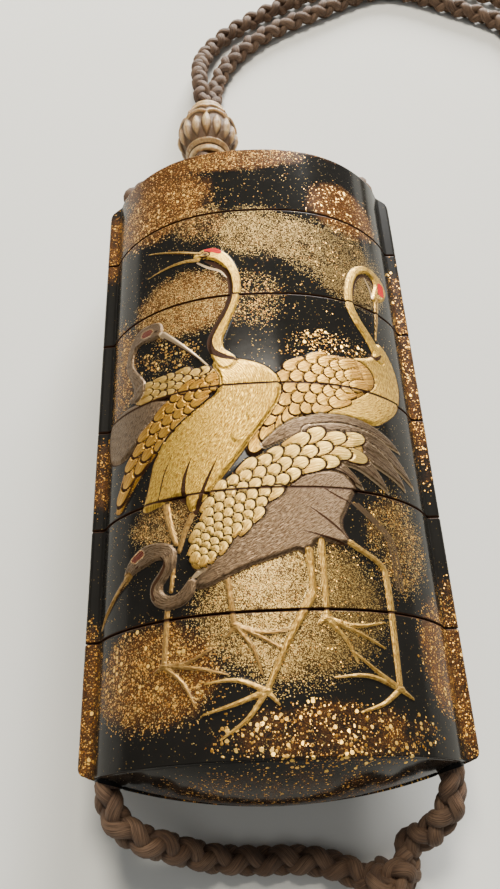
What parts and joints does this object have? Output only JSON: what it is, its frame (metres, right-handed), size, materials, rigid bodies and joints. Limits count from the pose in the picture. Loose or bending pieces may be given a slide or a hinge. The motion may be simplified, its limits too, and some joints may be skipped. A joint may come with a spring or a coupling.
{
  "type": "inro case",
  "caption": "Lacquered case of stacked oval boxes under a lid, strung on a plaited silk cord with a carved bead and a knot below.",
  "frame": {"origin": "on the surface that the case lies on, under the middle of the closed case without its cord", "axes": "+X across the case, +Y from the bottom box towards the lid, +Z out of the decorated front"},
  "size_m": [0.1058, 0.1908, 0.0244],
  "materials": {
    "lacquered_wood": "polished black lacquer with gold dust and raised gold and silver cranes",
    "carved_bone": "carved bone, rubbed with gold and darkened in the hollows",
    "silk_cord": "brown silk in a round plait"
  },
  "bodies": {
    "root": {"lid": "lacquered_wood", "case_1": "lacquered_wood", "case_2": "lacquered_wood", "case_3": "lacquered_wood", "case_4": "lacquered_wood", "case_5": "lacquered_wood", "ojime_bead": "carved_bone", "cord_in_left_channel": "silk_cord", "cord_in_right_channel": "silk_cord", "cord_in_bead_upper": "silk_cord", "cord_in_bead_lower": "silk_cord", "cord_lid_to_bead_left": "silk_cord", "cord_lid_to_bead_right": "silk_cord", "cord_netsuke_loop": "silk_cord", "cord_bottom_left": "silk_cord", "cord_bottom_right": "silk_cord", "bottom_knot": "silk_cord"}
  },
  "joints": []
}
